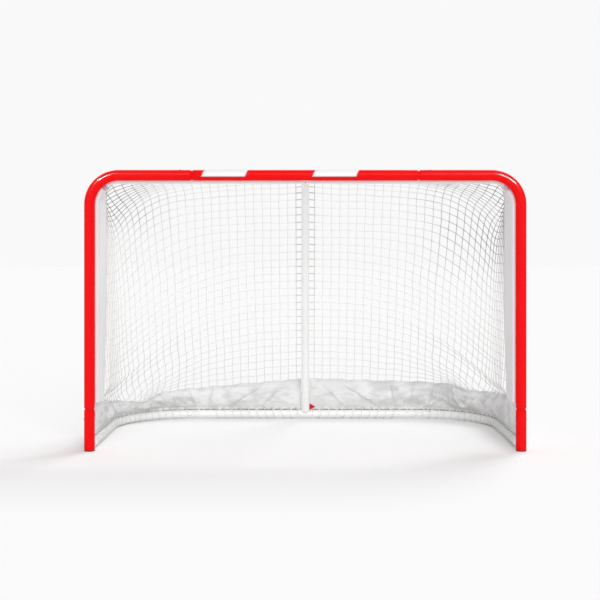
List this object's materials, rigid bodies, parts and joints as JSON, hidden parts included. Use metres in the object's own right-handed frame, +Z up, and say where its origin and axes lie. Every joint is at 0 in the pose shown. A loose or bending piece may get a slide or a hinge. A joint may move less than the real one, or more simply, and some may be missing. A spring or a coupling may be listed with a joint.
{
  "type": "hockey goal",
  "caption": "Full-size steel tube hockey goal with a red front frame, white base and centre support, square-mesh net and canvas skirt, held together with snap buttons.",
  "frame": {"origin": "on the floor under the middle of the whole goal's box", "axes": "+X to the right of someone facing the mouth, +Y back from the mouth, +Z up"},
  "size_m": [1.9308, 1.0242, 1.2218],
  "materials": {
    "red_powder_coat": "glossy red powder coat on steel tube",
    "white_powder_coat": "satin white powder coat on steel tube",
    "zinc_plated_steel": "zinc plate",
    "spring_steel": "bare spring steel",
    "black_plastic": "moulded polyethylene",
    "white_net_cord": "knotless white nylon mesh",
    "white_canvas": "white polyester canvas",
    "white_lacing_cord": "white braided cord",
    "white_label": "bare vinyl label",
    "red_webbing": "red webbing"
  },
  "bodies": {
    "goal": {"crossbar": "red_powder_coat", "rear_base_tube": "white_powder_coat", "centre_support": "white_powder_coat", "support_bracket": "red_powder_coat", "crossbar_lacing_bar": "red_powder_coat", "strap_end": "red_webbing", "left_post_corner": "red_powder_coat", "left_foot": "red_powder_coat", "left_foot_cap": "black_plastic", "left_base_rail": "white_powder_coat", "left_bracket_screw": "zinc_plated_steel", "left_lacing_bar": "red_powder_coat", "left_band": "white_canvas", "left_skirt": "white_canvas", "left_rear_lace": "white_lacing_cord", "left_side_lace": "white_lacing_cord", "left_roof_net": "white_net_cord", "left_rear_net": "white_net_cord", "left_side_net": "white_net_cord", "left_label": "white_label", "right_post_corner": "red_powder_coat", "right_foot": "red_powder_coat", "right_foot_cap": "black_plastic", "right_base_rail": "white_powder_coat", "right_bracket_screw": "zinc_plated_steel", "right_lacing_bar": "red_powder_coat", "right_band": "white_canvas", "right_skirt": "white_canvas", "right_rear_lace": "white_lacing_cord", "right_side_lace": "white_lacing_cord", "right_roof_net": "white_net_cord", "right_rear_net": "white_net_cord", "right_side_net": "white_net_cord", "right_label": "white_label", "left_crossbar_button_spring": "spring_steel", "left_post_button_spring": "spring_steel", "left_rail_button_spring": "spring_steel", "left_rear_button_spring": "spring_steel", "right_crossbar_button_spring": "spring_steel", "right_post_button_spring": "spring_steel", "right_rail_button_spring": "spring_steel", "right_rear_button_spring": "spring_steel", "support_button_spring": "spring_steel"},
    "left_crossbar_button": {"left_crossbar_button": "zinc_plated_steel"},
    "left_post_button": {"left_post_button": "zinc_plated_steel"},
    "left_rail_button": {"left_rail_button": "zinc_plated_steel"},
    "left_rear_button": {"left_rear_button": "zinc_plated_steel"},
    "right_crossbar_button": {"right_crossbar_button": "zinc_plated_steel"},
    "right_post_button": {"right_post_button": "zinc_plated_steel"},
    "right_rail_button": {"right_rail_button": "zinc_plated_steel"},
    "right_rear_button": {"right_rear_button": "zinc_plated_steel"},
    "support_button": {"support_button": "zinc_plated_steel"}
  },
  "joints": [
    {"name": "left_crossbar_button_press", "type": "slide", "parent": "goal", "child": "left_crossbar_button", "axis": [0, 0, -1], "range_m": [0, 0.0042], "stiffness_N_per_m": 1500, "springref_m": -0.002, "deforming": ["left_crossbar_button_spring"]},
    {"name": "left_post_button_press", "type": "slide", "parent": "goal", "child": "left_post_button", "axis": [1, 0, 0], "range_m": [0, 0.0042], "stiffness_N_per_m": 1500, "springref_m": -0.002, "deforming": ["left_post_button_spring"]},
    {"name": "left_rail_button_press", "type": "slide", "parent": "goal", "child": "left_rail_button", "axis": [1, 0, 0], "range_m": [0, 0.004], "stiffness_N_per_m": 1500, "springref_m": -0.002, "deforming": ["left_rail_button_spring"]},
    {"name": "left_rear_button_press", "type": "slide", "parent": "goal", "child": "left_rear_button", "axis": [0, -1, 0], "range_m": [0, 0.004], "stiffness_N_per_m": 1500, "springref_m": -0.002, "deforming": ["left_rear_button_spring"]},
    {"name": "right_crossbar_button_press", "type": "slide", "parent": "goal", "child": "right_crossbar_button", "axis": [0, 0, -1], "range_m": [0, 0.0042], "stiffness_N_per_m": 1500, "springref_m": -0.002, "deforming": ["right_crossbar_button_spring"]},
    {"name": "right_post_button_press", "type": "slide", "parent": "goal", "child": "right_post_button", "axis": [-1, 0, 0], "range_m": [0, 0.0042], "stiffness_N_per_m": 1500, "springref_m": -0.002, "deforming": ["right_post_button_spring"]},
    {"name": "right_rail_button_press", "type": "slide", "parent": "goal", "child": "right_rail_button", "axis": [-1, 0, 0], "range_m": [0, 0.004], "stiffness_N_per_m": 1500, "springref_m": -0.002, "deforming": ["right_rail_button_spring"]},
    {"name": "right_rear_button_press", "type": "slide", "parent": "goal", "child": "right_rear_button", "axis": [0, -1, 0], "range_m": [0, 0.004], "stiffness_N_per_m": 1500, "springref_m": -0.002, "deforming": ["right_rear_button_spring"]},
    {"name": "support_button_press", "type": "slide", "parent": "goal", "child": "support_button", "axis": [0, -0.9483, -0.3173], "range_m": [0, 0.0036], "stiffness_N_per_m": 1500, "springref_m": -0.002, "deforming": ["support_button_spring"]}
  ]
}
